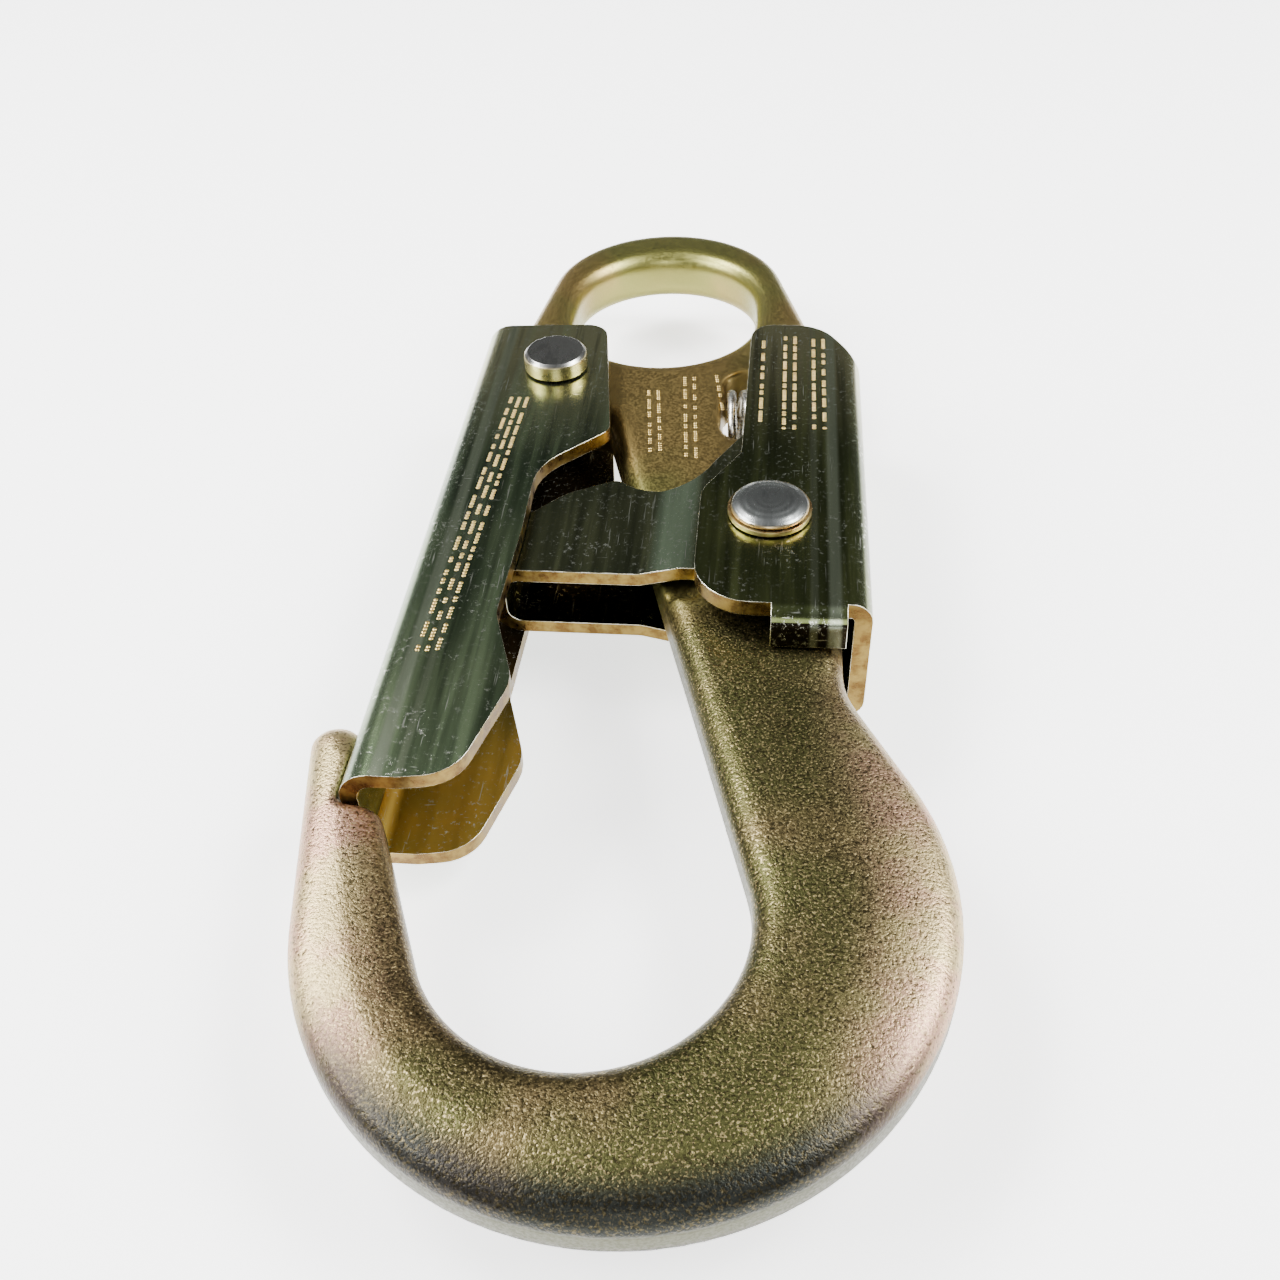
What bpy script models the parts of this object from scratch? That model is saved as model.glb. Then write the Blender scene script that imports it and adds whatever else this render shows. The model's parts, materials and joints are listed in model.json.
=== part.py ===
"""Double-locking steel snap hook, lying flat: forged hook body, sprung gate and sprung lock lever.

Frame: X across the hook, +Y from the bowl towards the eye, +Z out of the front face.
The design below is laid out in millimetres around the hook's middle plane (z = 0); the
empty "hook_frame" then stands the finished assembly on z = 0, centred on x = 0, y = 0.
"""
import math

import bmesh
import bpy
from mathutils import Matrix, Vector

MM = 0.001

# ---- driving dimensions (mm) -------------------------------------------------------
GAP = 0.3                       # running gap left between neighbouring solids

BODY_HALF = 3.3                 # half of the hook plate's thickness
BODY_EDGE = 2.0                 # rounding of the plate's edges
HOOK_CENTRE = (1.6, -30.3)      # centre of the hook's outer curve
HOOK_R = 26.2
BOWL_CENTRE = (-1.5, -32.3)     # centre of the bowl that carries the load
BOWL_R = 13.2
SHANK_TOP = (-6.96, 35.0)       # where the shank's inner edge meets the gate's ear
TIP_CENTRE = (-25.2, -16.9)
TIP_R = 2.5
SPINE_X = 19.2                  # straight back of the body, behind the lever
EYE_CENTRE = (-2.2, 63.6)
EYE_R = 15.3
HOLE_R = 11.4                   # eye hole: a slot with round ends
HOLE_X = -2.0
HOLE_Y = (56.4, 60.3)
EAR_R = 6.3                     # lug that carries the gate's rivet

GATE_AXIS = (-13.1, 39.1)       # gate hinge
LOCK_AXIS = (12.0, 11.0)        # hinge of the lever and the pawl
RIVET_R = 2.5
RIVET_HOLE_R = RIVET_R + GAP

GATE_WEB_X = -22.9              # outer face of the gate's back
GATE_OUT = 5.9                  # half width of the gate channel, outside
GATE_SHEET = 1.5
GATE_BEND = 3.0                 # outside bend radius
GATE_TOP = 48.6
GATE_FOOT = -23.3
WINDOW_Y = (1.5, 13.9)          # opening in the gate's back that clears the pawl
CATCH_TIP_X = -17.0             # free end of the catch folded in from the window
CATCH_HALF = 2.2

LEVER_WEB_X = 21.7              # outer face of the lever's thumb plate
LEVER_OUT = 7.3
LEVER_SHEET = 1.7
LEVER_BEND = 2.1
LEVER_TOP = 46.8
LEVER_FOOT = -2.1
TAB_X = (12.4, 19.3)            # lower tab folded down onto the body
TAB_BEND = 1.9

PAWL_SHEET = 1.5
PAWL_OUT = 5.1                  # outside of the plates where they straddle the body
PAWL_IN = 4.1                   # outside of the plates inside the gate channel
PAWL_END_X = -15.4              # bridge that blocks the gate's catch
PAWL_BEND = 3.0                 # outside radius of the bridge's two bends
PAWL_FOOT = 5.0
PAWL_CATCH_Y = 14.2
PAWL_BACK_X = 19.6
JOGGLE_X = (-0.5, 3.7)          # where the plates step outwards, at JOGGLE_Y
JOGGLE_Y = 5.0
JOGGLE_LEAN = 0.1               # the step leans this much per unit of height
SCALLOP_CENTRE = (0.3, 24.2)    # hollow in the upper edge of the pawl's plates
SCALLOP_R = 6.0
SCALLOP_MARGIN = 0.4            # the body's relief runs this far past the hollow

NOTCH_X = 6.2                   # blind end of the lock spring's pocket
NOTCH_Y = (29.2, 43.0)
NOTCH_R = 3.0
LOCK_SPRING_Y = 36.1
LOCK_SPRING_R = 3.9             # to the middle of the wire
LOCK_WIRE = 1.1
LOCK_TURNS = 5.5

EAR_SLOT_HALF = 1.9             # slot in the ear for the gate spring's coil
GATE_SPRING_R = 3.6
GATE_WIRE = 0.9
GATE_TURNS = 2

WASHER_R = 4.1
WASHER_T = 0.5
WASHER_GAP = 0.2                # left above and below each washer
LOCK_HEAD_R = 3.85
GATE_HEAD_R = 3.65

TRIM = 20                       # thickness of the flat trimming tools, more than any channel
CHANNEL_REACH = 20              # length of a channel's sides before they are trimmed
RELIEF_TOOL = 3                 # thickness of the tools that cut the body's reliefs

# the assembly's box in the layout above, used to centre it and stand it on z = 0
LAYOUT_CENTRE = (0.06, 11.2)
LAYOUT_LIFT = 9.1

# ---- scene and shared helpers -------------------------------------------------------
for old in list(bpy.data.objects):
    bpy.data.objects.remove(old, do_unlink=True)

parts = bpy.data.collections.new("snap_hook")
cutters = bpy.data.collections.new("cutters")
for group in (parts, cutters):
    bpy.context.scene.collection.children.link(group)


def arc(centre, radius, start, end, step=5.0):
    """Points on a round stretch, from one angle to another in degrees."""
    count = max(2, round(abs(end - start) / step))
    turn = [math.radians(start + (end - start) * i / count) for i in range(count + 1)]
    return [(centre[0] + radius * math.cos(a), centre[1] + radius * math.sin(a)) for a in turn]


def rounded(corners, step=10.0):
    """Closed outline from (x, y) points and (x, y, radius) corners, which become arcs."""
    outline = []
    for i, corner in enumerate(corners):
        here = Vector(corner[:2])
        if len(corner) == 2:
            outline.append(tuple(here))
            continue
        back = (Vector(corners[i - 1][:2]) - here).normalized()
        ahead = (Vector(corners[(i + 1) % len(corners)][:2]) - here).normalized()
        half = back.angle(ahead) / 2
        middle = here + (back + ahead).normalized() * corner[2] / math.sin(half)
        first = here + back * corner[2] / math.tan(half) - middle
        last = here + ahead * corner[2] / math.tan(half) - middle
        sweep = first.angle_signed(last)
        count = max(2, round(abs(math.degrees(sweep)) / step))
        for k in range(count + 1):
            spoke = first.copy()
            spoke.rotate(Matrix.Rotation(-sweep * k / count, 2))
            outline.append(tuple(middle + spoke))
    return outline


def empty(name, at, parent=None):
    """Empty that carries a moving group, at a place in its parent's frame."""
    node = bpy.data.objects.new(name, None)
    node.empty_display_size = 5 * MM
    node.location = Vector(at) * MM
    node.parent = parent
    parts.objects.link(node)
    return node


hook_frame = empty("hook_frame", (-LAYOUT_CENTRE[0], -LAYOUT_CENTRE[1], LAYOUT_LIFT))
gate_axis = empty("gate_axis", (*GATE_AXIS, 0), hook_frame)
lock_axis = empty("lock_axis", (*LOCK_AXIS, 0), hook_frame)
AXIS_AT = {hook_frame: (0, 0), gate_axis: GATE_AXIS, lock_axis: LOCK_AXIS}


def finish_piece(piece, carrier=hook_frame):
    """Hang a piece, modelled in the layout, on the empty that carries it."""
    at = AXIS_AT[carrier]
    piece.data.transform(Matrix.Translation((-at[0] * MM, -at[1] * MM, 0)))
    piece.parent = carrier
    parts.objects.link(piece)
    return piece


def make_cutter(tool):
    """Keep a cutting tool apart from the parts."""
    tool.hide_render = True
    tool.display_type = "WIRE"
    tool.parent = hook_frame
    cutters.objects.link(tool)
    return tool


def boolean(piece, tool, operation="DIFFERENCE"):
    change = piece.modifiers.new(tool.name, "BOOLEAN")
    change.operation = operation
    change.solver = "EXACT"
    change.object = make_cutter(tool)


def flat_solid(name, outlines, thickness, edge=0.0, middle=0.0):
    """Plate cut from flat outlines (mm), the first outside and the others holes, as a mesh."""
    curve = bpy.data.curves.new(name, "CURVE")
    curve.dimensions = "2D"
    curve.fill_mode = "BOTH"
    curve.extrude = (thickness / 2 - edge) * MM
    curve.bevel_depth = edge * MM
    curve.bevel_resolution = 3
    curve.offset = -edge * MM
    for outline in outlines:
        spline = curve.splines.new("POLY")
        spline.points.add(len(outline) - 1)
        for point, (x, y) in zip(spline.points, outline):
            point.co = (x * MM, y * MM, 0, 1)
        spline.use_cyclic_u = True
    drawn = bpy.data.objects.new(name + "_outline", curve)
    bpy.context.scene.collection.objects.link(drawn)
    bpy.context.view_layer.update()
    shape = drawn.evaluated_get(bpy.context.evaluated_depsgraph_get())
    mesh = bpy.data.meshes.new_from_object(shape)
    bpy.data.objects.remove(drawn)
    bpy.data.curves.remove(curve)
    mesh.name = name
    work = bmesh.new()
    work.from_mesh(mesh)
    bmesh.ops.remove_doubles(work, verts=work.verts, dist=1e-6)
    bmesh.ops.recalc_face_normals(work, faces=work.faces)
    work.to_mesh(mesh)
    work.free()
    mesh.transform(Matrix.Translation((0, 0, middle * MM)))
    return bpy.data.objects.new(name, mesh)


ALONG_Y = Matrix(((1, 0, 0, 0), (0, 0, -1, 0), (0, 1, 0, 0), (0, 0, 0, 1)))
ALONG_X = Matrix(((0, 0, 1, 0), (1, 0, 0, 0), (0, 1, 0, 0), (0, 0, 0, 1)))


def section_along_y(name, section, low, high):
    """Bar with an (x, z) section that runs from y = low to y = high."""
    bar = flat_solid(name, [section], high - low)
    bar.data.transform(Matrix.Translation((0, (low + high) / 2 * MM, 0)) @ ALONG_Y)
    return bar


def section_along_x(name, section, low, high):
    """Bar with a (y, z) section that runs from x = low to x = high."""
    bar = flat_solid(name, [section], high - low)
    bar.data.transform(Matrix.Translation(((low + high) / 2 * MM, 0, 0)) @ ALONG_X)
    return bar


def box(name, low, high):
    """Plain block between two corners (mm)."""
    mesh = bpy.data.meshes.new(name)
    work = bmesh.new()
    bmesh.ops.create_cube(work, size=1.0)
    size = [(b - a) * MM for a, b in zip(low, high)]
    centre = [(a + b) / 2 * MM for a, b in zip(low, high)]
    bmesh.ops.scale(work, vec=size, verts=work.verts)
    bmesh.ops.translate(work, vec=centre, verts=work.verts)
    work.to_mesh(mesh)
    work.free()
    return bpy.data.objects.new(name, mesh)


def bore(name, axis, radius):
    """Cutting cylinder along Z, long enough to pass every plate."""
    mesh = bpy.data.meshes.new(name)
    work = bmesh.new()
    bmesh.ops.create_cone(work, cap_ends=True, segments=36, radius1=radius * MM,
                          radius2=radius * MM, depth=30 * MM)
    bmesh.ops.translate(work, vec=(axis[0] * MM, axis[1] * MM, 0), verts=work.verts)
    work.to_mesh(mesh)
    work.free()
    return bpy.data.objects.new(name, mesh)


def material(piece, colour, roughness, metallic=1.0):
    look = bpy.data.materials.new(piece.name)
    look.use_nodes = True
    shader = look.node_tree.nodes["Principled BSDF"]
    shader.inputs["Base Color"].default_value = (*colour, 1)
    shader.inputs["Roughness"].default_value = roughness
    shader.inputs["Metallic"].default_value = metallic
    piece.data.materials.clear()
    piece.data.materials.append(look)


def smooth(piece, angle=30):
    piece.data.shade_smooth()
    piece.data.set_sharp_from_angle(angle=math.radians(angle))


def turned(name, profile, axis, carrier):
    """Rivet turned about Z: (radius, z) profile in mm, from the top of its axis to the bottom."""
    mesh = bpy.data.meshes.new(name)
    edges = [(i, i + 1) for i in range(len(profile) - 1)]
    mesh.from_pydata([(r * MM, 0, z * MM) for r, z in profile], edges, [])
    piece = bpy.data.objects.new(name, mesh)
    piece.parent = carrier
    piece.location = ((axis[0] - AXIS_AT[carrier][0]) * MM, (axis[1] - AXIS_AT[carrier][1]) * MM, 0)
    parts.objects.link(piece)
    spin = piece.modifiers.new("turned", "SCREW")
    spin.steps = 32
    spin.render_steps = 32
    spin.use_merge_vertices = True
    spin.merge_threshold = 1e-6
    spin.use_smooth_shade = True
    return piece


def wire(name, route, diameter, carrier):
    """Spring wire along a route of (x, y, z) points in the layout."""
    at = AXIS_AT[carrier]
    curve = bpy.data.curves.new(name, "CURVE")
    curve.dimensions = "3D"
    curve.bevel_depth = diameter / 2 * MM
    curve.bevel_resolution = 2
    curve.use_fill_caps = True
    spline = curve.splines.new("POLY")
    spline.points.add(len(route) - 1)
    for point, (x, y, z) in zip(spline.points, route):
        point.co = ((x - at[0]) * MM, (y - at[1]) * MM, z * MM, 1)
    piece = bpy.data.objects.new(name, curve)
    piece.parent = carrier
    parts.objects.link(piece)
    return piece


# ---- hook body ----------------------------------------------------------------------
def eye_tangent(point, side):
    """Angle at which a line from a point outside the eye's rim touches the rim."""
    offset = Vector(point) - Vector(EYE_CENTRE)
    swing = math.degrees(math.acos(EYE_R / offset.length))
    return math.degrees(math.atan2(offset.y, offset.x)) + side * swing


def make_hook_body():
    right_flank = (17.1, 51.2)
    left_flank = (GATE_AXIS[0] - EAR_R, 51.0)
    outline = rounded(
        arc(HOOK_CENTRE, HOOK_R, 191.5, 387.6, 4)
        + [(SPINE_X, -7.5, 9), (SPINE_X, 12, 30), (15.6, 43.8, 5), (*right_flank, 6)]
        + arc(EYE_CENTRE, EYE_R, eye_tangent(right_flank, 1), 360 + eye_tangent(left_flank, -1))
        + [(*left_flank, 8)]
        + arc(GATE_AXIS, EAR_R, 180, 290)
        + [(*SHANK_TOP, 2)]
        + arc(BOWL_CENTRE, BOWL_R, 15.8, -157.3)
        + arc(TIP_CENTRE, TIP_R, 20, 172, 12)
    )
    eye_hole = (arc((HOLE_X, HOLE_Y[1]), HOLE_R, 180, 0, 6)
                + arc((HOLE_X, HOLE_Y[0]), HOLE_R, 0, -180, 6))
    body = flat_solid("hook_body", [outline, eye_hole], 2 * BODY_HALF, BODY_EDGE)

    # seat on the inside of the tip, where the gate's foot comes to rest
    seat = box("tip_seat", (GATE_WEB_X - GAP, GATE_FOOT - 0.4, -5), (-15, -8, 5))
    boolean(body, seat)
    # pocket in the back for the lock spring
    notch = flat_solid("spring_notch", [rounded([
        (NOTCH_X, NOTCH_Y[0], NOTCH_R), (25, NOTCH_Y[0]), (25, NOTCH_Y[1]),
        (NOTCH_X, NOTCH_Y[1], NOTCH_R)])], 12)
    boolean(body, notch)
    # slot across the ear for the gate spring's coil
    slot = box("ear_slot", (-25, 30, -EAR_SLOT_HALF), (-7.9, 44.6, EAR_SLOT_HALF))
    boolean(body, slot)
    # shallow reliefs on both faces that clear the pawl's inner plates
    relief = [(-9, 20.7), (-9, 2.9), (5.3, 2.9), (5.9, 17.6)]
    relief += arc(SCALLOP_CENTRE, SCALLOP_R - SCALLOP_MARGIN, 325, 236)
    floor = PAWL_IN - PAWL_SHEET - GAP
    for side, name in ((1, "front_relief"), (-1, "rear_relief")):
        tool = flat_solid(name, [relief], RELIEF_TOOL, middle=side * (floor + RELIEF_TOOL / 2))
        boolean(body, tool)
    for axis, name in ((GATE_AXIS, "gate_bore"), (LOCK_AXIS, "lock_bore")):
        boolean(body, bore(name, axis, RIVET_HOLE_R))
    finish_piece(body)
    smooth(body)
    material(body, (0.46, 0.41, 0.24), 0.42)


# ---- gate ---------------------------------------------------------------------------
def channel_section(web_x, towards, half, sheet, bend):
    """(x, z) outline of a U: its back at web_x, its sides running towards +1 or -1 in x."""
    inner = max(bend - sheet, 0.2)
    far = web_x + towards * CHANNEL_REACH
    inside = web_x + towards * sheet
    return rounded([
        (far, half), (web_x, half, bend), (web_x, -half, bend), (far, -half),
        (far, sheet - half), (inside, sheet - half, inner), (inside, half - sheet, inner),
        (far, half - sheet)], 15)


def make_gate():
    gate = section_along_y("gate", channel_section(GATE_WEB_X, 1, GATE_OUT, GATE_SHEET, GATE_BEND),
                           GATE_FOOT - 2, GATE_TOP + 3)
    flange = rounded([
        (-25, GATE_FOOT), (-17.6, GATE_FOOT), (-12.9, -22.6, 4.2), (-9.9, -11.8, 5),
        (-12.8, -3.2, 4), (-12.4, 9.0), (-12.5, 19.8, 7), (-5.5, 26.6, 2.0),
        (-8.3, GATE_TOP + 0.3, 2.6), (-25, GATE_TOP - 0.5)], 12)
    boolean(gate, flat_solid("gate_trim", [flange], TRIM), "INTERSECT")
    # window through the back, whose metal is folded in as the catch
    boolean(gate, box("gate_window", (-30, WINDOW_Y[0], GATE_SHEET - GATE_OUT),
                      (-19, WINDOW_Y[1], GATE_OUT - GATE_SHEET)))
    catch_top = WINDOW_Y[1] + GATE_SHEET
    catch = box("gate_catch", (GATE_WEB_X + 0.7, WINDOW_Y[1], -CATCH_HALF),
                (CATCH_TIP_X, catch_top, CATCH_HALF))
    boolean(gate, catch, "UNION")
    boolean(gate, bore("gate_rivet_hole", GATE_AXIS, RIVET_HOLE_R))
    finish_piece(gate, gate_axis)
    smooth(gate)
    material(gate, (0.30, 0.34, 0.20), 0.2)


# ---- lock lever ---------------------------------------------------------------------
def make_lever():
    lever = section_along_y("lock_lever",
                            channel_section(LEVER_WEB_X, -1, LEVER_OUT, LEVER_SHEET, LEVER_BEND),
                            LEVER_FOOT - 2, LEVER_TOP + 2)
    flange = rounded([
        (30, LEVER_FOOT), (30, 38.6), (21.9, 38.6, 2.5), (17.2, LEVER_TOP, 5),
        (9.3, LEVER_TOP, 2.6), (8.9, 21.0, 3), (5.1, 14.5, 5), (5.1, LEVER_FOOT, 5.4)], 12)
    boolean(lever, flat_solid("lever_trim", [flange], TRIM), "INTERSECT")
    tab_low = BODY_HALF + GAP
    for side, name in ((1, "front_tab"), (-1, "rear_tab")):
        inner = TAB_BEND - LEVER_SHEET
        face = LEVER_FOOT - TAB_BEND
        section = rounded([
            (LEVER_FOOT + 0.8, side * LEVER_OUT), (face, side * LEVER_OUT, TAB_BEND),
            (face, side * tab_low), (face + LEVER_SHEET, side * tab_low),
            (face + LEVER_SHEET, side * (LEVER_OUT - LEVER_SHEET), inner),
            (LEVER_FOOT + 0.8, side * (LEVER_OUT - LEVER_SHEET))], 15)
        boolean(lever, section_along_x(name, section, *TAB_X), "UNION")
    boolean(lever, bore("lever_rivet_hole", LOCK_AXIS, RIVET_HOLE_R))
    finish_piece(lever, lock_axis)
    smooth(lever)
    material(lever, (0.30, 0.33, 0.20), 0.2)


# ---- lock pawl ----------------------------------------------------------------------
def make_pawl():
    far = PAWL_BACK_X + 2
    step = PAWL_OUT - PAWL_IN
    left, right = JOGGLE_X

    def joggled(outside, end_x, radius):
        """Half of the strip's (x, z) outline: bridge end, inner level, step and outer level."""
        return [(end_x, outside, radius), (left, outside, 2.0), (right, outside + step, 2.0),
                (far, outside + step)]

    upper = joggled(PAWL_IN, PAWL_END_X, PAWL_BEND)
    lower = [(x, -z, *r) for x, z, *r in reversed(upper)]
    inner_lower = [(x, -z, *r) for x, z, *r in
                   joggled(PAWL_IN - PAWL_SHEET, PAWL_END_X + PAWL_SHEET, PAWL_BEND - PAWL_SHEET)]
    inner_upper = [(x, -z, *r) for x, z, *r in reversed(inner_lower)]
    section = rounded(list(reversed(upper)) + list(reversed(lower)) + inner_lower[::-1]
                      + inner_upper[::-1], 15)
    pawl = section_along_y("lock_pawl", section, PAWL_FOOT - 2, 32)
    # the step leans to the right towards the top of the plates
    for vertex in pawl.data.vertices:
        if (left - 1) * MM < vertex.co.x < (right + 1) * MM:
            vertex.co.x += JOGGLE_LEAN * (vertex.co.y - JOGGLE_Y * MM)
    plates = rounded(
        [(-20, PAWL_FOOT), (15.8, PAWL_FOOT - 0.2), (PAWL_BACK_X, 9.0, 3), (PAWL_BACK_X, 24.0, 4),
         (16.0, 28.4, 3), (9.4, 28.4, 1)]
        + arc(SCALLOP_CENTRE, SCALLOP_R, 340, 240, 10)
        + [(-4.0, 20.1, 1.2), (-9.2, 17.5, 6), (-12.3, PAWL_CATCH_Y), (-20, PAWL_CATCH_Y)])
    boolean(pawl, flat_solid("pawl_trim", [plates], TRIM), "INTERSECT")
    boolean(pawl, bore("pawl_rivet_hole", LOCK_AXIS, RIVET_HOLE_R))
    finish_piece(pawl, lock_axis)
    smooth(pawl)
    material(pawl, (0.27, 0.29, 0.18), 0.22)


# ---- rivets and washers -------------------------------------------------------------
def make_rivets():
    seat = LEVER_OUT + WASHER_T + 2 * WASHER_GAP
    dome = [(0, 0.9), (1.6, 0.85), (2.8, 0.66), (3.5, 0.42), (LOCK_HEAD_R, 0.18), (LOCK_HEAD_R, 0)]
    lock = turned("lock_rivet",
                  [(r, seat + z) for r, z in dome] + [(RIVET_R, seat), (RIVET_R, -seat)]
                  + [(r, -seat - z) for r, z in reversed(dome)], LOCK_AXIS, hook_frame)
    material(lock, (0.62, 0.60, 0.57), 0.25)
    seat = GATE_OUT + GAP
    gate = turned("gate_rivet", [
        (0, seat + 1.8), (2.2, seat + 1.85), (3.2, seat + 1.95), (3.6, seat + 1.6),
        (GATE_HEAD_R, seat), (RIVET_R, seat), (RIVET_R, -seat), (GATE_HEAD_R, -seat),
        (GATE_HEAD_R, -seat - 1.2), (3.2, -seat - 1.6), (0, -seat - 1.7)], GATE_AXIS, hook_frame)
    material(gate, (0.45, 0.43, 0.38), 0.3)


def make_washers():
    middle = LEVER_OUT + WASHER_GAP + WASHER_T / 2
    for side, name in ((1, "lock_washer_front"), (-1, "lock_washer_rear")):
        ring = flat_solid(name, [arc((0, 0), WASHER_R, 0, 350, 10), arc((0, 0), RIVET_HOLE_R, 350, 0, 10)],
                          WASHER_T, middle=side * middle)
        ring.data.transform(Matrix.Translation((LOCK_AXIS[0] * MM, LOCK_AXIS[1] * MM, 0)))
        finish_piece(ring)
        smooth(ring)
        material(ring, (0.66, 0.58, 0.34), 0.3)


# ---- springs ------------------------------------------------------------------------
def make_gate_spring():
    """Torsion spring round the gate's rivet: a short leg on the body, a long one on the gate."""
    pitch = GATE_WIRE + 0.1
    turn_points = 20
    low = -pitch * GATE_TURNS / 2
    route = [(-8.75, 33.9, low), (-9.1, 36.0, low)]
    for i in range(turn_points * GATE_TURNS + turn_points // 2 + 1):
        angle = 2 * math.pi * i / turn_points
        route.append((GATE_AXIS[0] + GATE_SPRING_R * math.cos(angle),
                      GATE_AXIS[1] + GATE_SPRING_R * math.sin(angle),
                      low + pitch * i / turn_points * GATE_TURNS / (GATE_TURNS + 0.5)))
    leg_x = GATE_WEB_X + GATE_SHEET + GAP + GATE_WIRE / 2
    route += [(-17.4, 35.5, -low), (leg_x + 0.8, 25.5, -low), (leg_x, 22.5, -low), (leg_x, 18.2, -low)]
    spring = wire("gate_spring", route, GATE_WIRE, gate_axis)
    material(spring, (0.70, 0.68, 0.62), 0.25)


def make_lock_spring():
    """Compression spring between the body's pocket and the lever's back, with closed ends."""
    turn_points = 16
    low = NOTCH_X + GAP + LOCK_WIRE / 2
    high = LEVER_WEB_X - LEVER_SHEET - GAP - LOCK_WIRE / 2
    dead = LOCK_WIRE + 0.12
    count = round(turn_points * LOCK_TURNS)
    route = []
    for i in range(count + 1):
        turns = i / turn_points
        rest = LOCK_TURNS - turns
        free = (high - low - 2 * dead) * (turns - 1) / (LOCK_TURNS - 2)
        along = low + (dead * turns if turns < 1 else
                       high - low - dead * rest if rest < 1 else dead + free)
        angle = 2 * math.pi * turns
        route.append((along, LOCK_SPRING_Y + LOCK_SPRING_R * math.cos(angle),
                      LOCK_SPRING_R * math.sin(angle)))
    spring = wire("lock_spring", route, LOCK_WIRE, hook_frame)
    material(spring, (0.70, 0.66, 0.58), 0.25)


make_hook_body()
make_gate()
make_lever()
make_pawl()
make_rivets()
make_washers()
make_gate_spring()
make_lock_spring()
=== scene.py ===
"""Looks of the double-locking snap hook: refined surfaces, chromate finishes, studio and camera."""
import json
import math
import random

import bmesh
import bpy
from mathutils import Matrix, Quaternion, Vector, kdtree


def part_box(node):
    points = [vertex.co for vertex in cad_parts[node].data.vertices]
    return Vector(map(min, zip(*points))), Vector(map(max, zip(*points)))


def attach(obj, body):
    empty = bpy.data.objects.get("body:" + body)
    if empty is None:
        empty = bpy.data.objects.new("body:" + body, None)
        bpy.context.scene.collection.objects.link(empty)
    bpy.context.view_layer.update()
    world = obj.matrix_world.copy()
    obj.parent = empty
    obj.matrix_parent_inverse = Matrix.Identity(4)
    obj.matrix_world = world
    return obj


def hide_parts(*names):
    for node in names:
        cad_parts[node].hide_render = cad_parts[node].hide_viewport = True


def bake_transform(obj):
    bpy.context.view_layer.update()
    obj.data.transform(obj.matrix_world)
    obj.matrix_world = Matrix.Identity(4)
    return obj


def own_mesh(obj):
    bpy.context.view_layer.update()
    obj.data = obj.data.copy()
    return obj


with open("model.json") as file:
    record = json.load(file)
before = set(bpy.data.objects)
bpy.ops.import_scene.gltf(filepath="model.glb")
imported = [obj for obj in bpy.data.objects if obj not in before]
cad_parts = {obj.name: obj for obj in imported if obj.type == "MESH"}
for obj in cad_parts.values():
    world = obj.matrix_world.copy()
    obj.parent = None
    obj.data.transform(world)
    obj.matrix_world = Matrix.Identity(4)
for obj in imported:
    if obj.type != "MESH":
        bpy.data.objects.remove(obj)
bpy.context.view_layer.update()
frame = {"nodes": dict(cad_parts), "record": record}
MM = 0.001

JOINTS = {joint["name"]: joint for joint in frame["record"]["behaviour"]["joints"]}
LOCK_PIVOT = Vector(JOINTS["lever_hinge"]["pos_m"])
GATE_PIVOT = Vector(JOINTS["gate_hinge"]["pos_m"])
BODY_LOW, BODY_HIGH = (Vector(corner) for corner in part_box("hook_body"))
GATE_LOW, GATE_HIGH = (Vector(corner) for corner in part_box("gate"))
LEVER_LOW, LEVER_HIGH = (Vector(corner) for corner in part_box("lock_lever"))
PAWL_LOW = Vector(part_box("lock_pawl")[0])
MIDDLE_Z = LOCK_PIVOT.z

MERGE = 2e-6                # corners closer than this are one
EDGE_ROUND = 2 * MM         # rounding of the forging's edges
SKIN = 0.42 * MM            # cell of the forging's even skin
RIM_STEP = 0.4 * MM         # spacing of the points that mark the forging's rim
CROWN_DROP = 0.2            # share of the half thickness that is lost at the bowl's rim
CROWN_REACH = 8 * MM        # how far in from the rim the face begins to fall
SHEET_EASE = 0.28 * MM      # rounding of the pressed sheet's cut corners
WALL_STRIP = (0.7 * MM, 1.3 * MM)       # flat part of the forging's wall, off the middle plane
TOOL_RINGS = 9000.0         # radians of tool mark for each metre out from a rivet's centre

DIMPLE_STEP = 0.42          # spacing of the peened dimples in a dash, in mm
DIMPLE_R = 0.23 * MM
DIMPLE_RISE = 0.08 * MM
ROW_LEAN = 1.2              # the body's rows lean this far to the left at the top, in mm

# painted highlights along a bend, lighter bands where it catches the lamps: (distance from the back and half
# width in mm, strength, tint)
BEND_HIGHLIGHTS = ((3.5, 0.8, 0.6, (0.46, 0.52, 0.38)), (5.4, 0.5, 0.35, (0.36, 0.40, 0.28)))
# painted highlight on the slope of the pawl's joggle step, same columns as above
STEP_HIGHLIGHT = ((18.1, 2.7, 0.9, (0.36, 0.47, 0.31)),)

# peened rows, each from one (x, y) to another in mm about the lever's rivet
GATE_ROWS = [((-28.4 + shift, 21.5), (-30.2 + shift, -19.5)) for shift in (-0.9, 0.0, 0.9)]
LEVER_ROWS = [((x, top), (x, 14.5))
              for x, top in ((-1.3, 32), (1.2, 33), (2.3, 33), (4.4, 32.5), (5.5, 32.5))]
BODY_ROWS = [((x - ROW_LEAN, top), (x, foot))
             for x, top, foot in ((-13.2, 27.5, 15.5), (-12.1, 27.5, 15.5), (-9.2, 30.5, 14.5),
                                  (-8.1, 30.5, 14.5), (-5.5, 31, 23))]

# the hook's outer curve: it touches the body's right side and its lowest point
HOOK_R = 26.2 * MM
HOOK_CENTRE = Vector((BODY_HIGH.x - HOOK_R, BODY_LOW.y + HOOK_R, MIDDLE_Z))


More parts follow.
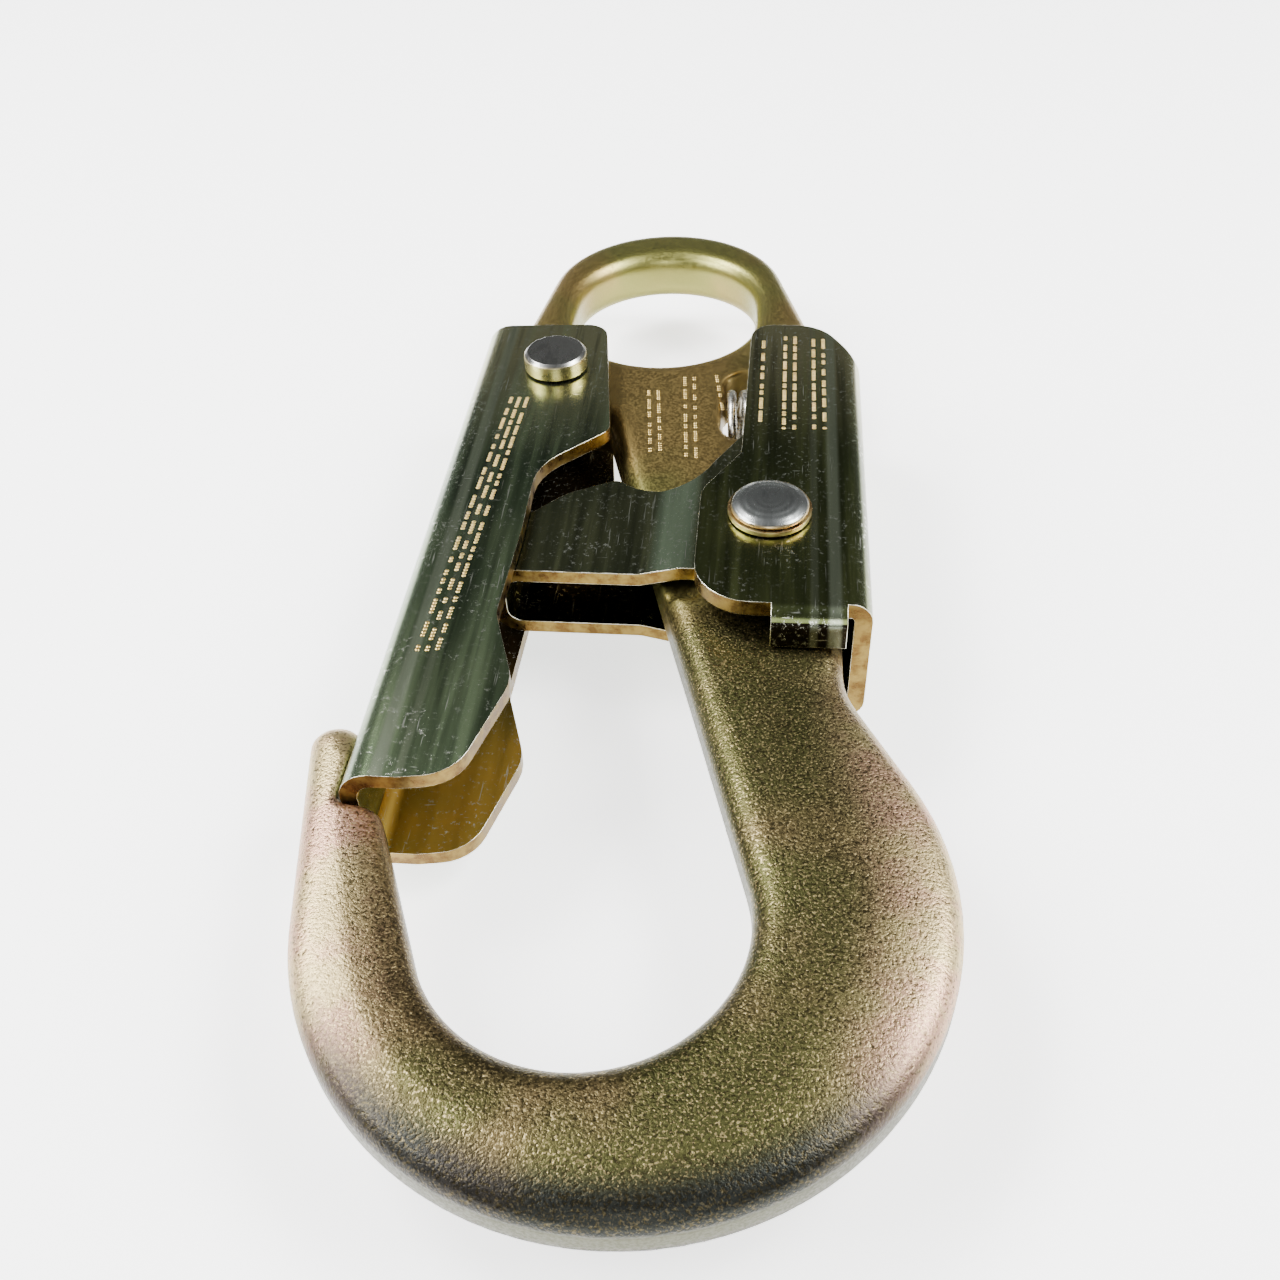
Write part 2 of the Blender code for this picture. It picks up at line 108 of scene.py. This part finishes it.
# ---- node helpers -------------------------------------------------------------------
class Finish:
    """A material being made: its shader and the few node recipes that the finishes share."""

    def __init__(self, name, roughness):
        self.material = bpy.data.materials.new(name)
        self.material.use_nodes = True
        self.tree = self.material.node_tree
        self.shader = self.tree.nodes["Principled BSDF"]
        self.shader.inputs["Metallic"].default_value = 1.0
        self.shader.inputs["Roughness"].default_value = roughness
        self.place = self.tree.nodes.new("ShaderNodeTexCoord").outputs["Object"]

    def link(self, value, socket):
        if isinstance(value, bpy.types.NodeSocket):
            self.tree.links.new(value, socket)
        elif isinstance(value, tuple) and len(value) == 3 and socket.type == "RGBA":
            socket.default_value = (*value, 1)
        else:
            socket.default_value = value

    def mapped(self, centre=(0, 0, 0), turn=(0, 0, 0), stretch=(1, 1, 1)):
        """Object coordinates centred on a point, then turned and stretched."""
        shifted = self.tree.nodes.new("ShaderNodeMapping")
        shifted.inputs["Location"].default_value = [-value for value in centre]
        self.link(self.place, shifted.inputs["Vector"])
        turned = self.tree.nodes.new("ShaderNodeMapping")
        turned.inputs["Rotation"].default_value = turn
        turned.inputs["Scale"].default_value = stretch
        self.link(shifted.outputs["Vector"], turned.inputs["Vector"])
        return turned.outputs["Vector"]

    def noise(self, scale, detail=2.0, roughness=0.5, place=None):
        node = self.tree.nodes.new("ShaderNodeTexNoise")
        node.inputs["Scale"].default_value = scale
        node.inputs["Detail"].default_value = detail
        node.inputs["Roughness"].default_value = roughness
        self.link(place or self.place, node.inputs["Vector"])
        return node.outputs["Fac"]

    def span(self, value, low, high, to_low=0.0, to_high=1.0):
        """value from low..high turned smoothly into to_low..to_high, and held at the ends."""
        node = self.tree.nodes.new("ShaderNodeMapRange")
        node.interpolation_type = "SMOOTHSTEP"
        numbers = (low, high, to_low, to_high)
        for key, number in zip(("From Min", "From Max", "To Min", "To Max"), numbers):
            node.inputs[key].default_value = number
        self.link(value, node.inputs["Value"])
        return node.outputs["Result"]

    def blend(self, factor, first, second):
        node = self.tree.nodes.new("ShaderNodeMix")
        node.data_type = "RGBA"
        self.link(factor, node.inputs[0])
        self.link(first, node.inputs[6])
        self.link(second, node.inputs[7])
        return node.outputs[2]

    def maths(self, kind, first, second=0.0):
        node = self.tree.nodes.new("ShaderNodeMath")
        node.operation = kind
        self.link(first, node.inputs[0])
        self.link(second, node.inputs[1])
        return node.outputs[0]

    def axis(self, vector, name):
        node = self.tree.nodes.new("ShaderNodeSeparateXYZ")
        self.link(vector, node.inputs[0])
        return node.outputs[name]

    def flat_distance(self, centre):
        """Distance from an upright line through a point."""
        node = self.tree.nodes.new("ShaderNodeVectorMath")
        node.operation = "LENGTH"
        self.link(self.mapped(centre, stretch=(1, 1, 0)), node.inputs[0])
        return node.outputs["Value"]

    def colour(self, value):
        self.link(value, self.shader.inputs["Base Color"])

    def rough(self, value):
        self.link(value, self.shader.inputs["Roughness"])

    def bump(self, height, strength, depth):
        node = self.tree.nodes.new("ShaderNodeBump")
        node.inputs["Strength"].default_value = strength
        node.inputs["Distance"].default_value = depth
        self.link(height, node.inputs["Height"])
        self.link(node.outputs["Normal"], self.shader.inputs["Normal"])


# ---- finishes -----------------------------------------------------------------------
def forged_chromate():
    """Shot-blasted forging: olive-gold bowl with painted sparkle glints, painted cream-pink highlights on
    the flanks, a painted dark reflection along the lower rim, painted shade on the flat wall, smooth golden
    middle.
    """
    look = Finish("forged_chromate", roughness=0.36)
    up = look.axis(look.place, "Y")
    off_middle = look.maths("ABSOLUTE", look.axis(look.mapped(HOOK_CENTRE), "Z"))
    side = look.maths("ABSOLUTE", look.axis(look.mapped(HOOK_CENTRE), "X"))
    radius = look.flat_distance(HOOK_CENTRE)
    in_bowl = look.span(up, LOCK_PIVOT.y - 14 * MM, LOCK_PIVOT.y - 5 * MM, 1.0, 0.0)
    blasted = look.maths("MULTIPLY", in_bowl, look.span(off_middle, *WALL_STRIP))
    patches = look.noise(110, 4, 0.65)
    drift = look.noise(45, 3, 0.55)
    olive = look.blend(look.span(patches, 0.35, 0.65), (0.07, 0.052, 0.025), (0.135, 0.097, 0.046))
    green = look.blend(look.span(drift, 0.44, 0.6, 0, 0.75), olive, (0.062, 0.068, 0.022))
    # painted highlight: cream-pink flanks on both sides of the bowl, where the side lamps light it
    flank_highlight = look.maths("MULTIPLY", look.span(side, 13 * MM, 25 * MM),
                       look.span(radius, 16.5 * MM, 25 * MM, 0.1, 1.0))
    rosy_highlight = look.blend(look.span(patches, 0.4, 0.6), (0.62, 0.36, 0.25), (0.60, 0.47, 0.23))
    bowl = look.blend(look.maths("MULTIPLY", flank_highlight, 0.8), green, rosy_highlight)
    # painted reflection: near-black band along the bowl's lower rim, standing in for the dark surround that
    # the rounding reflects
    painted_dark_rim = look.maths("MULTIPLY", look.span(radius, HOOK_R - 4.2 * MM, HOOK_R - 1.4 * MM),
                         look.span(up, HOOK_CENTRE.y - 7 * MM, HOOK_CENTRE.y - 18 * MM))
    bowl = look.blend(look.maths("MULTIPLY", painted_dark_rim, 0.85), bowl, (0.014, 0.016, 0.02))
    gold = look.blend(look.span(drift, 0.4, 0.65), (0.255, 0.245, 0.075), (0.35, 0.25, 0.09))
    face = look.blend(in_bowl, gold, bowl)
    # painted shade: darkens the flat wall of the bowl against the bright floor it reflects
    painted_wall_shade = look.maths("MULTIPLY", in_bowl, look.span(off_middle, *reversed(WALL_STRIP)))
    face = look.blend(painted_wall_shade, face, (0.05, 0.05, 0.018))
    grain = look.noise(3900, 2, 0.6)
    # painted glints: bright gold flecks as the sparkle of the blasted grain, fewer in the dark rim band
    sparkle_glint = look.maths("MULTIPLY", look.span(look.noise(4700, 1, 0.5), 0.55, 0.68), blasted)
    sparkle_glint = look.maths("MULTIPLY", sparkle_glint, look.span(painted_dark_rim, 0, 1, 1, 0.15))
    pit = look.maths("MULTIPLY", look.span(grain, 0.48, 0.34), blasted)
    pitted = look.blend(look.maths("MULTIPLY", pit, 0.75), face, (0.055, 0.045, 0.022))
    look.colour(look.blend(look.maths("MULTIPLY", sparkle_glint, 0.45), pitted, (0.58, 0.45, 0.21)))
    look.rough(look.span(grain, 0.3, 0.7, 0.28, 0.46))
    look.bump(look.maths("MULTIPLY", grain, look.span(blasted, 0, 1, 0.08, 1.0)), 0.5, 0.00012)
    return look.material


def sheet_chromate(name, dark, light, back_x, inner=False, bend_highlights=BEND_HIGHLIGHTS):
    """Glossy olive-green chromate on pressed sheet, with lengthwise streaks, scratches and rubs, paler
    towards the top, and painted highlights along the bends; the inside lining also gets painted shade
    towards the top.
    """
    look = Finish(name, roughness=0.22)
    streaks = look.noise(700, 3, 0.6, look.mapped(LOCK_PIVOT, stretch=(1, 0.04, 1)))
    cloud = look.noise(70, 2, 0.5)
    base = look.blend(look.span(cloud, 0.3, 0.7), dark, light)
    # the sheet turns paler towards its top end
    paler_towards_top = look.span(look.axis(look.place, "Y"), LOCK_PIVOT.y + 8 * MM, LEVER_HIGH.y, 0, 0.75)
    base = look.blend(paler_towards_top, base, (0.50, 0.48, 0.27))
    base = look.blend(look.span(streaks, 0.48, 0.72, 0, 0.5), base, tuple(2.0 * c for c in light))
    base = look.blend(look.span(streaks, 0.48, 0.3, 0, 0.6), base, tuple(0.5 * c for c in dark))
    reach = look.maths("ABSOLUTE", look.axis(look.mapped((back_x, 0, 0)), "X"))
    # painted highlights: lighter bands along the bends, where they catch the lamps
    for highlight_at, half, strength, highlight_tint in bend_highlights:
        gap = look.maths("ABSOLUTE", look.maths("SUBTRACT", reach, highlight_at * MM))
        base = look.blend(look.span(gap, half * MM, half * 0.4 * MM, 0, strength), base, highlight_tint)
    fine = look.mapped(LOCK_PIVOT, (0, 0, 0.35), (1, 0.05, 1))
    cross = look.mapped(GATE_PIVOT, (0, 0, 1.1), (0.13, 1, 1))
    scratches = look.maths("MAXIMUM", look.span(look.noise(3000, 2, 0.7, fine), 0.65, 0.72),
                           look.span(look.noise(2600, 2, 0.7, cross), 0.69, 0.76))
    specks = look.span(look.noise(1700, 4, 0.8), 0.565, 0.665)
    worn = look.maths("MULTIPLY", look.maths("MAXIMUM", scratches, specks),
                      look.span(look.noise(230, 2), 0.36, 0.6, 0.25, 1.0))
    if inner:
        base = look.blend(look.span(look.noise(90, 2), 0.35, 0.65), (0.42, 0.26, 0.05), (0.26, 0.205, 0.045))
        # painted shade: the inside turns near-black towards the top, deep under the covering sheet
        painted_deep_shade = look.span(look.axis(look.place, "Y"), LOCK_PIVOT.y - 24 * MM, LOCK_PIVOT.y - 8 * MM)
        base = look.blend(painted_deep_shade, base, (0.03, 0.02, 0.008))
    look.colour(look.blend(worn, base, (0.58, 0.60, 0.52)))
    gloss = (0.42, 0.5) if inner else (0.225, 0.262)
    look.rough(look.span(streaks, 0.3, 0.7, *gloss))
    look.bump(look.maths("SUBTRACT", look.noise(1800, 3, 0.6), look.maths("MULTIPLY", worn, 0.5)),
              0.2, 0.00003)
    return look.material


def sheared_edge():
    """Cut edge of the sheet: gold with torn copper-brown patches."""
    look = Finish("sheared_edge", roughness=0.3)
    torn = look.noise(650, 4, 0.65)
    look.colour(look.blend(look.span(torn, 0.35, 0.65), (0.11, 0.062, 0.018), (0.24, 0.165, 0.045)))
    look.rough(look.span(torn, 0.3, 0.7, 0.24, 0.44))
    look.bump(torn, 0.25, 0.0001)
    return look.material


def rolled_edge_highlight():
    """Painted highlight: a bright line on the sheet's corner where the punch rolled it over."""
    look = Finish("rolled_edge_highlight", roughness=0.22)
    rub = look.noise(900, 3, 0.6)
    look.colour(look.blend(look.span(rub, 0.35, 0.65), (0.46, 0.44, 0.30), (0.78, 0.77, 0.66)))
    look.rough(look.span(rub, 0.3, 0.7, 0.16, 0.32))
    return look.material


def spun_head(name, pivot, crown, rim, rim_at):
    """Rivet head spun over: rings of tool marks round the axis, and a gold chromate rim."""
    look = Finish(name, roughness=0.24)
    radius = look.flat_distance(pivot)
    swirl = look.maths("SINE", look.maths("MULTIPLY", radius, TOOL_RINGS))
    smear = look.noise(600, 3, 0.6, look.mapped(pivot, stretch=(1, 0.35, 1)))
    crown_tone = look.blend(look.span(smear, 0.35, 0.65), crown, tuple(0.3 * c for c in crown))
    look.colour(look.blend(look.span(radius, rim_at, rim_at + 0.3 * MM), crown_tone, rim))
    look.rough(look.span(smear, 0.3, 0.7, 0.18, 0.36))
    look.bump(look.maths("ADD", look.maths("MULTIPLY", swirl, 0.25), smear), 0.22, 0.00008)
    return look.material


def drawn_wire():
    look = Finish("drawn_wire", roughness=0.26)
    streak = look.noise(2200, 3, 0.6)
    look.colour(look.blend(look.span(streak, 0.35, 0.65), (0.62, 0.60, 0.54), (0.80, 0.78, 0.72)))
    look.rough(look.span(streak, 0.3, 0.7, 0.2, 0.36))
    look.bump(streak, 0.15, 0.00005)
    return look.material


def gold_ring():
    look = Finish("gold_ring", roughness=0.28)
    stain = look.noise(500, 3, 0.6)
    look.colour(look.blend(look.span(stain, 0.35, 0.65), (0.62, 0.38, 0.17), (0.76, 0.62, 0.30)))
    look.rough(look.span(stain, 0.3, 0.7, 0.2, 0.4))
    look.bump(stain, 0.2, 0.00006)
    return look.material


def peened_gold():
    look = Finish("peened_gold", roughness=0.3)
    speck = look.noise(3000, 2, 0.6)
    look.colour(look.blend(look.span(speck, 0.35, 0.65), (0.50, 0.34, 0.11), (0.74, 0.57, 0.23)))
    look.bump(speck, 0.3, 0.0001)
    return look.material


# ---- refined pieces -----------------------------------------------------------------
def refined(node, name, finishes, soften=0.12 * MM, choose=None):
    """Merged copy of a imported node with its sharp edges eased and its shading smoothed."""
    mesh = frame["nodes"][node].data.copy()
    mesh.name = name
    mesh.materials.clear()
    for finish in finishes:
        mesh.materials.append(finish)
    work = bmesh.new()
    work.from_mesh(mesh)
    bmesh.ops.remove_doubles(work, verts=work.verts, dist=MERGE)
    bmesh.ops.dissolve_limit(work, angle_limit=math.radians(1.0), verts=work.verts, edges=work.edges)
    work.normal_update()
    for face in work.faces:
        face.smooth = True
        face.material_index = choose(face) if choose else 0
    work.to_mesh(mesh)
    work.free()
    piece = bpy.data.objects.new(name, mesh)
    bpy.context.scene.collection.objects.link(piece)
    if soften:
        ease = piece.modifiers.new("eased_edges", "BEVEL")
        ease.width = soften
        ease.segments = 3
        ease.limit_method = "ANGLE"
        ease.angle_limit = math.radians(40)
        ease.use_clamp_overlap = True
        # a sheet piece's last finish is the painted highlight for its rolled-over corners
        ease.material = len(finishes) - 1 if choose else -1
    normals = piece.modifiers.new("flat_faces", "WEIGHTED_NORMAL")
    normals.keep_sharp = False
    bpy.context.view_layer.update()
    shape = piece.evaluated_get(bpy.context.evaluated_depsgraph_get())
    baked = bpy.data.meshes.new_from_object(shape)
    piece.modifiers.clear()
    piece.data = baked
    return piece


def sheet_sides(back_low, back_high, inner_z, folded_y=None):
    """Sorts a channel's faces: 0 outside, 1 cut edge, 2 inside, 3 the face of a folded tab."""
    def choose(face):
        centre = face.calc_center_median()
        normal = face.normal
        in_back = back_low - 0.1 * MM < centre.x < back_high + 0.1 * MM
        if folded_y and centre.y < folded_y + 0.4 * MM and abs(normal.y) > 0.5 and not in_back:
            return 3
        if abs(normal.z) < 0.2 and not (in_back and abs(normal.y) < 0.3):
            return 1
        facing_in = (centre.z - MIDDLE_Z) * normal.z < 0 and abs(centre.z - MIDDLE_Z) < inner_z
        return 2 if facing_in else 0
    return choose


def crowned_forging(finish):
    """The hook as forged: its faces fall away towards the rim of the bowl, on a fine even skin."""
    source = frame["nodes"]["hook_body"].data.copy()
    work = bmesh.new()
    work.from_mesh(source)
    bmesh.ops.remove_doubles(work, verts=work.verts, dist=MERGE)
    wall = (BODY_HIGH.z - BODY_LOW.z) / 2 - EDGE_ROUND
    rim = []
    for edge in work.edges:
        ends = [vert.co for vert in edge.verts]
        if all(abs(abs(end.z - MIDDLE_Z) - wall) < 0.05 * MM for end in ends):
            count = max(1, round(edge.calc_length() / RIM_STEP))
            rim += [ends[0].lerp(ends[1], i / count) for i in range(count)]
    work.to_mesh(source)
    work.free()
    tree = kdtree.KDTree(len(rim))
    for i, point in enumerate(rim):
        tree.insert((point.x, point.y, 0), i)
    tree.balance()
    piece = bpy.data.objects.new("forged_body", source)
    bpy.context.scene.collection.objects.link(piece)
    skin = piece.modifiers.new("even_skin", "REMESH")
    skin.mode = "VOXEL"
    skin.voxel_size = SKIN
    skin.use_smooth_shade = True
    settle = piece.modifiers.new("settled", "SMOOTH")
    settle.factor = 0.5
    settle.iterations = 3
    bpy.context.view_layer.update()
    shape = piece.evaluated_get(bpy.context.evaluated_depsgraph_get())
    mesh = bpy.data.meshes.new_from_object(shape)
    piece.modifiers.clear()
    piece.data = mesh
    top, bottom = LOCK_PIVOT.y - 8 * MM, LOCK_PIVOT.y - 20 * MM
    for vert in mesh.vertices:
        in_bowl = min(max((top - vert.co.y) / (top - bottom), 0), 1)
        gap = tree.find((vert.co.x, vert.co.y, 0))[2]
        fall = max(0, 1 - gap / CROWN_REACH) ** 2 * CROWN_DROP * in_bowl
        vert.co.z = MIDDLE_Z + (vert.co.z - MIDDLE_Z) * (1 - fall)
    mesh.materials.clear()
    mesh.materials.append(finish)
    return piece


def place(piece, node, body, slot):
    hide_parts(node)
    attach(piece, body)
    return piece


def make_metalwork():
    edge = sheared_edge()
    place(crowned_forging(forged_chromate()), "hook_body", "hook", "forged_chromate")
    inside = sheet_chromate("inner_chromate", (0.1, 0.1, 0.03), (0.3, 0.25, 0.08), GATE_LOW.x, True)
    # painted shade: near-black chromate on the lever's folded tab face and on the pawl's inside
    shaded = sheet_chromate("near_black_shade_chromate", (0.009, 0.007, 0.004), (0.018, 0.014, 0.007), LEVER_HIGH.x)
    rolled_highlight = rolled_edge_highlight()
    channels = (
        ("gate", "gate_channel", "gate", (0.085, 0.125, 0.07), (0.17, 0.225, 0.125), GATE_LOW.x,
         sheet_sides(GATE_LOW.x, GATE_LOW.x + 3 * MM, 5 * MM)),
        ("lock_lever", "thumb_lever", "lock", (0.07, 0.088, 0.034), (0.13, 0.15, 0.055), LEVER_HIGH.x,
         sheet_sides(LEVER_HIGH.x - 2.2 * MM, LEVER_HIGH.x, 6 * MM, LEVER_LOW.y)),
        ("lock_pawl", "blocking_pawl", "lock", (0.085, 0.10, 0.055), (0.14, 0.155, 0.08), PAWL_LOW.x,
         sheet_sides(PAWL_LOW.x, PAWL_LOW.x + 3 * MM, 4.5 * MM)),
    )
    for node, name, body, dark, light, back_x, choose in channels:
        bend_highlights = STEP_HIGHLIGHT if node == "lock_pawl" else BEND_HIGHLIGHTS
        finish = sheet_chromate(f"{name}_chromate", dark, light, back_x, bend_highlights=bend_highlights)
        # the pawl's inside takes the near-black painted shade; the others take the inside lining with its
        # painted shade towards the top
        lining = shaded if node == "lock_pawl" else inside
        piece = refined(node, name, [finish, edge, lining, shaded, rolled_highlight], SHEET_EASE, choose)
        place(piece, node, body, "sheet_chromate")


def peening_tree():
    """Geometry nodes that raise one small rounded dimple on every point of a row."""
    tree = bpy.data.node_groups.new("peening", "GeometryNodeTree")
    tree.interface.new_socket("Geometry", in_out="INPUT", socket_type="NodeSocketGeometry")
    for name in ("Dot Radius", "Dot Height"):
        tree.interface.new_socket(name, in_out="INPUT", socket_type="NodeSocketFloat")
    tree.interface.new_socket("Finish", in_out="INPUT", socket_type="NodeSocketMaterial")
    tree.interface.new_socket("Geometry", in_out="OUTPUT", socket_type="NodeSocketGeometry")
    start = tree.nodes.new("NodeGroupInput")
    ball = tree.nodes.new("GeometryNodeMeshUVSphere")
    ball.inputs["Segments"].default_value = 10
    ball.inputs["Rings"].default_value = 6
    ball.inputs["Radius"].default_value = 1.0
    size = tree.nodes.new("ShaderNodeCombineXYZ")
    spread = tree.nodes.new("GeometryNodeInstanceOnPoints")
    solid = tree.nodes.new("GeometryNodeRealizeInstances")
    smooth = tree.nodes.new("GeometryNodeSetShadeSmooth")
    dress = tree.nodes.new("GeometryNodeSetMaterial")
    end = tree.nodes.new("NodeGroupOutput")
    link = tree.links.new
    link(start.outputs["Dot Radius"], size.inputs["X"])
    link(start.outputs["Dot Radius"], size.inputs["Y"])
    link(start.outputs["Dot Height"], size.inputs["Z"])
    link(start.outputs["Geometry"], spread.inputs["Points"])
    link(ball.outputs["Mesh"], spread.inputs["Instance"])
    link(size.outputs["Vector"], spread.inputs["Scale"])
    link(spread.outputs["Instances"], smooth.inputs["Geometry"])
    link(smooth.outputs["Geometry"], solid.inputs["Geometry"])
    link(solid.outputs["Geometry"], dress.inputs["Geometry"])
    link(start.outputs["Finish"], dress.inputs["Material"])
    link(dress.outputs["Geometry"], end.inputs["Geometry"])
    return tree


def peened_rows(name, tree, finish, body, height, rows, seed):
    """Rows of peened dashes, each row from one (x, y) to another in mm about the lock pivot."""
    chance = random.Random(seed)
    points = []
    for (x0, y0), (x1, y1) in rows:
        length = math.hypot(x1 - x0, y1 - y0)
        along = 0.0
        while along < length:
            for _ in range(chance.choice((2, 3, 4, 5))):
                if along > length:
                    break
                share = along / length
                point = Vector((x0 + (x1 - x0) * share, y0 + (y1 - y0) * share, 0)) * MM + LOCK_PIVOT
                points.append((point.x, point.y, height))
                along += DIMPLE_STEP
            along += DIMPLE_STEP * chance.choice((1, 1.5, 2.5))
    mesh = bpy.data.meshes.new(name)
    mesh.from_pydata(points, [], [])
    piece = bpy.data.objects.new(name, mesh)
    bpy.context.scene.collection.objects.link(piece)
    rise = piece.modifiers.new("peening", "NODES")
    rise.node_group = tree
    values = {"Dot Radius": DIMPLE_R, "Dot Height": DIMPLE_RISE, "Finish": finish}
    for item in tree.interface.items_tree:
        if item.in_out == "INPUT" and item.name in values:
            rise[item.identifier] = values[item.name]
    bpy.context.view_layer.update()
    shape = piece.evaluated_get(bpy.context.evaluated_depsgraph_get())
    piece.data = bpy.data.meshes.new_from_object(shape)
    piece.modifiers.clear()
    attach(piece, body)


def make_marks():
    tree = peening_tree()
    finish = peened_gold()
    peened_rows("gate_marks", tree, finish, "gate", GATE_HIGH.z, GATE_ROWS, 3)
    peened_rows("lever_marks", tree, finish, "lock", LEVER_HIGH.z, LEVER_ROWS, 5)
    peened_rows("body_marks", tree, finish, "hook", BODY_HIGH.z, BODY_ROWS, 8)


def make_fasteners():
    lock = spun_head("lock_rivet_head", LOCK_PIVOT, (0.44, 0.46, 0.45), (0.52, 0.37, 0.14), 3.6 * MM)
    place(refined("lock_rivet", "lever_rivet", [lock], 0), "lock_rivet", "hook", "bright_rivet")
    gate = spun_head("gate_rivet_head", GATE_PIVOT, (0.44, 0.44, 0.42), (0.56, 0.47, 0.20), 3.4 * MM)
    place(refined("gate_rivet", "hinge_rivet", [gate], 0.06 * MM), "gate_rivet", "hook", "grey_rivet")
    ring = gold_ring()
    for side in ("front", "rear"):
        piece = refined(f"lock_washer_{side}", f"thin_washer_{side}", [ring], 0.08 * MM)
        place(piece, f"lock_washer_{side}", "hook", "washer_gold")


def make_springs():
    steel = drawn_wire()
    coil = refined("lock_spring", "lever_push_spring", [steel], 0)
    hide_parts("lock_spring")
    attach(coil, "hook")
    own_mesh(coil)
    torsion = refined("gate_spring", "gate_closing_spring", [steel], 0)
    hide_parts("gate_spring")
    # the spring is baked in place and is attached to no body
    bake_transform(torsion)


# ---- studio and camera --------------------------------------------------------------
# soft lamps: name, place, width, power, and the point that each is turned to
BOWL = (0, -0.04, 0)
LAMPS = (
    ("left_high", (-0.33, 0.14, 0.48), 0.2, 4.6, BOWL),
    ("right_high", (0.34, 0.12, 0.50), 0.2, 3.2, BOWL),
    ("left_card", (-0.42, -0.12, 0.34), 0.3, 5.5, BOWL),
    ("right_card", (0.42, -0.02, 0.36), 0.3, 5.0, BOWL),
    ("front_card", (0.05, -0.6, 0.34), 0.3, 1.6, (0, 0, 0)),
)
FLOOR_HALF = 3.0
FLOOR_DROP = 0.0002         # keeps the floor just clear of the hook's lowest face

CAMERA_OFFSET = Vector((-0.35, -99.88, 85.09))      # from the lever's rivet, in mm
CAMERA_AIM = Vector((-0.0942, 0.7191, -0.6885))
CAMERA_ROLL = math.radians(-3.14)


def softbox(name, at, size, power, aim):
    lamp = bpy.data.lights.new(name, "AREA")
    lamp.size = size
    lamp.energy = power
    holder = bpy.data.objects.new(name, lamp)
    holder.location = at
    holder.rotation_euler = (Vector(aim) - Vector(at)).to_track_quat("-Z", "Y").to_euler()
    bpy.context.scene.collection.objects.link(holder)


def make_sky():
    """Soft studio surround: pale near the horizon, dimmest about forty degrees up, paler overhead."""
    world = bpy.data.worlds.new("studio")
    world.use_nodes = True
    tree = world.node_tree
    look = tree.nodes.new("ShaderNodeTexCoord").outputs["Generated"]
    split = tree.nodes.new("ShaderNodeSeparateXYZ")
    tree.links.new(look, split.inputs[0])
    ramp = tree.nodes.new("ShaderNodeValToRGB")
    stops = ramp.color_ramp.elements
    stops[0].position, stops[0].color = 0.15, (0.30, 0.31, 0.30, 1)
    stops[1].position, stops[1].color = 0.98, (0.34, 0.35, 0.36, 1)
    for at, grey in ((0.4, 0.17), (0.66, 0.14), (0.84, 0.2)):
        stop = stops.new(at)
        stop.color = (grey, grey * 1.02, grey, 1)
    tree.links.new(split.outputs["Z"], ramp.inputs["Fac"])
    tree.links.new(ramp.outputs["Color"], tree.nodes["Background"].inputs["Color"])
    tree.nodes["Background"].inputs["Strength"].default_value = 0.9
    bpy.context.scene.world = world


def make_studio():
    make_sky()
    mesh = bpy.data.meshes.new("floor")
    work = bmesh.new()
    bmesh.ops.create_grid(work, x_segments=1, y_segments=1, size=FLOOR_HALF)
    bmesh.ops.translate(work, vec=(0, 0, -FLOOR_DROP), verts=work.verts)
    work.to_mesh(mesh)
    work.free()
    floor = bpy.data.objects.new("floor", mesh)
    bpy.context.scene.collection.objects.link(floor)
    paper = bpy.data.materials.new("white_paper")
    paper.use_nodes = True
    shader = paper.node_tree.nodes["Principled BSDF"]
    shader.inputs["Base Color"].default_value = (0.95, 0.95, 0.95, 1)
    shader.inputs["Roughness"].default_value = 0.9
    shader.inputs["Specular IOR Level"].default_value = 0.0
    shader.inputs["Emission Color"].default_value = (1, 1, 1, 1)
    shader.inputs["Emission Strength"].default_value = 1.9
    mesh.materials.append(paper)
    for lamp in LAMPS:
        softbox(*lamp)


def make_camera():
    """Wide lens held close over the bowl, which gives the strong convergence towards the eye."""
    data = bpy.data.cameras.new("camera")
    data.lens = 36.1
    data.sensor_width = 36.0
    data.clip_start = 0.005
    camera = bpy.data.objects.new("camera", data)
    roll = Quaternion((0, 0, 1), CAMERA_ROLL)
    camera.rotation_mode = "QUATERNION"
    camera.rotation_quaternion = CAMERA_AIM.to_track_quat("-Z", "Y") @ roll
    camera.location = LOCK_PIVOT + CAMERA_OFFSET * MM
    bpy.context.scene.collection.objects.link(camera)
    bpy.context.scene.camera = camera


make_camera()
make_studio()
make_metalwork()
make_fasteners()
make_springs()
make_marks()
